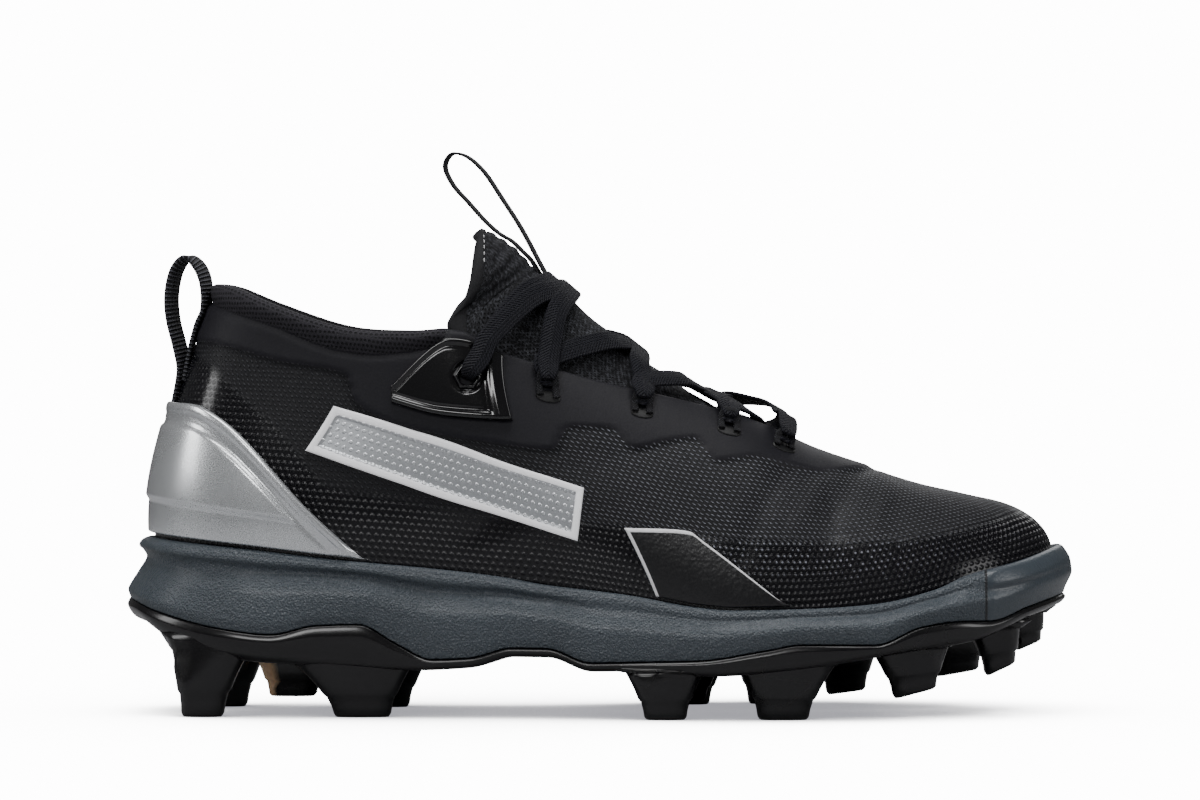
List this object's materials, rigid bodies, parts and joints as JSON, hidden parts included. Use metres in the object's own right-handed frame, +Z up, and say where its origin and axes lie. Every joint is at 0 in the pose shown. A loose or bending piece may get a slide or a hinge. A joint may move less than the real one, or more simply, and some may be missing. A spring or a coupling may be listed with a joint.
{
  "type": "baseball cleat",
  "caption": "Low lace-up baseball cleat for the right foot, with a hollow upper, padded tongue, moulded midsole and lugged outsole.",
  "frame": {"origin": "under the middle of the shoe, on the plane that the lugs stand on", "axes": "+X forward to the toe, +Y to the inner (medial) side, +Z up"},
  "size_m": [0.3001, 0.1085, 0.1776],
  "materials": {
    "upper_mesh": "woven mesh with a smooth coated band and a glossy film below",
    "midsole_rubber": "fine leather-like grain",
    "insole_fabric": "plain knit cover",
    "outsole_plastic": "glossy moulded plastic",
    "tongue_fabric": "padded mesh",
    "counter_plastic": "silver metallic coated plastic",
    "plate_plastic": "glossy moulded plastic",
    "bar_film": "silver film with small dots and a white rim",
    "patch_leather": "dark grained leather with a white edge",
    "webbing": "woven webbing",
    "lace_cloth": "flat woven lace",
    "ribbon": "thin woven ribbon"
  },
  "bodies": {
    "root": {"upper": "upper_mesh", "midsole": "midsole_rubber", "insole": "insole_fabric", "outsole": "outsole_plastic", "tongue": "tongue_fabric", "heel_counter": "counter_plastic", "lace_plate_lateral": "plate_plastic", "side_bar_lateral": "bar_film", "forefoot_patch_lateral": "patch_leather", "eyelet_loop_lateral_1": "webbing", "eyelet_loop_lateral_2": "webbing", "eyelet_loop_lateral_3": "webbing", "eyelet_loop_lateral_4": "webbing", "lace_plate_medial": "plate_plastic", "side_bar_medial": "bar_film", "forefoot_patch_medial": "patch_leather", "eyelet_loop_medial_1": "webbing", "eyelet_loop_medial_2": "webbing", "eyelet_loop_medial_3": "webbing", "eyelet_loop_medial_4": "webbing", "lace": "lace_cloth", "tongue_loop": "ribbon", "heel_loop": "webbing"}
  },
  "joints": []
}
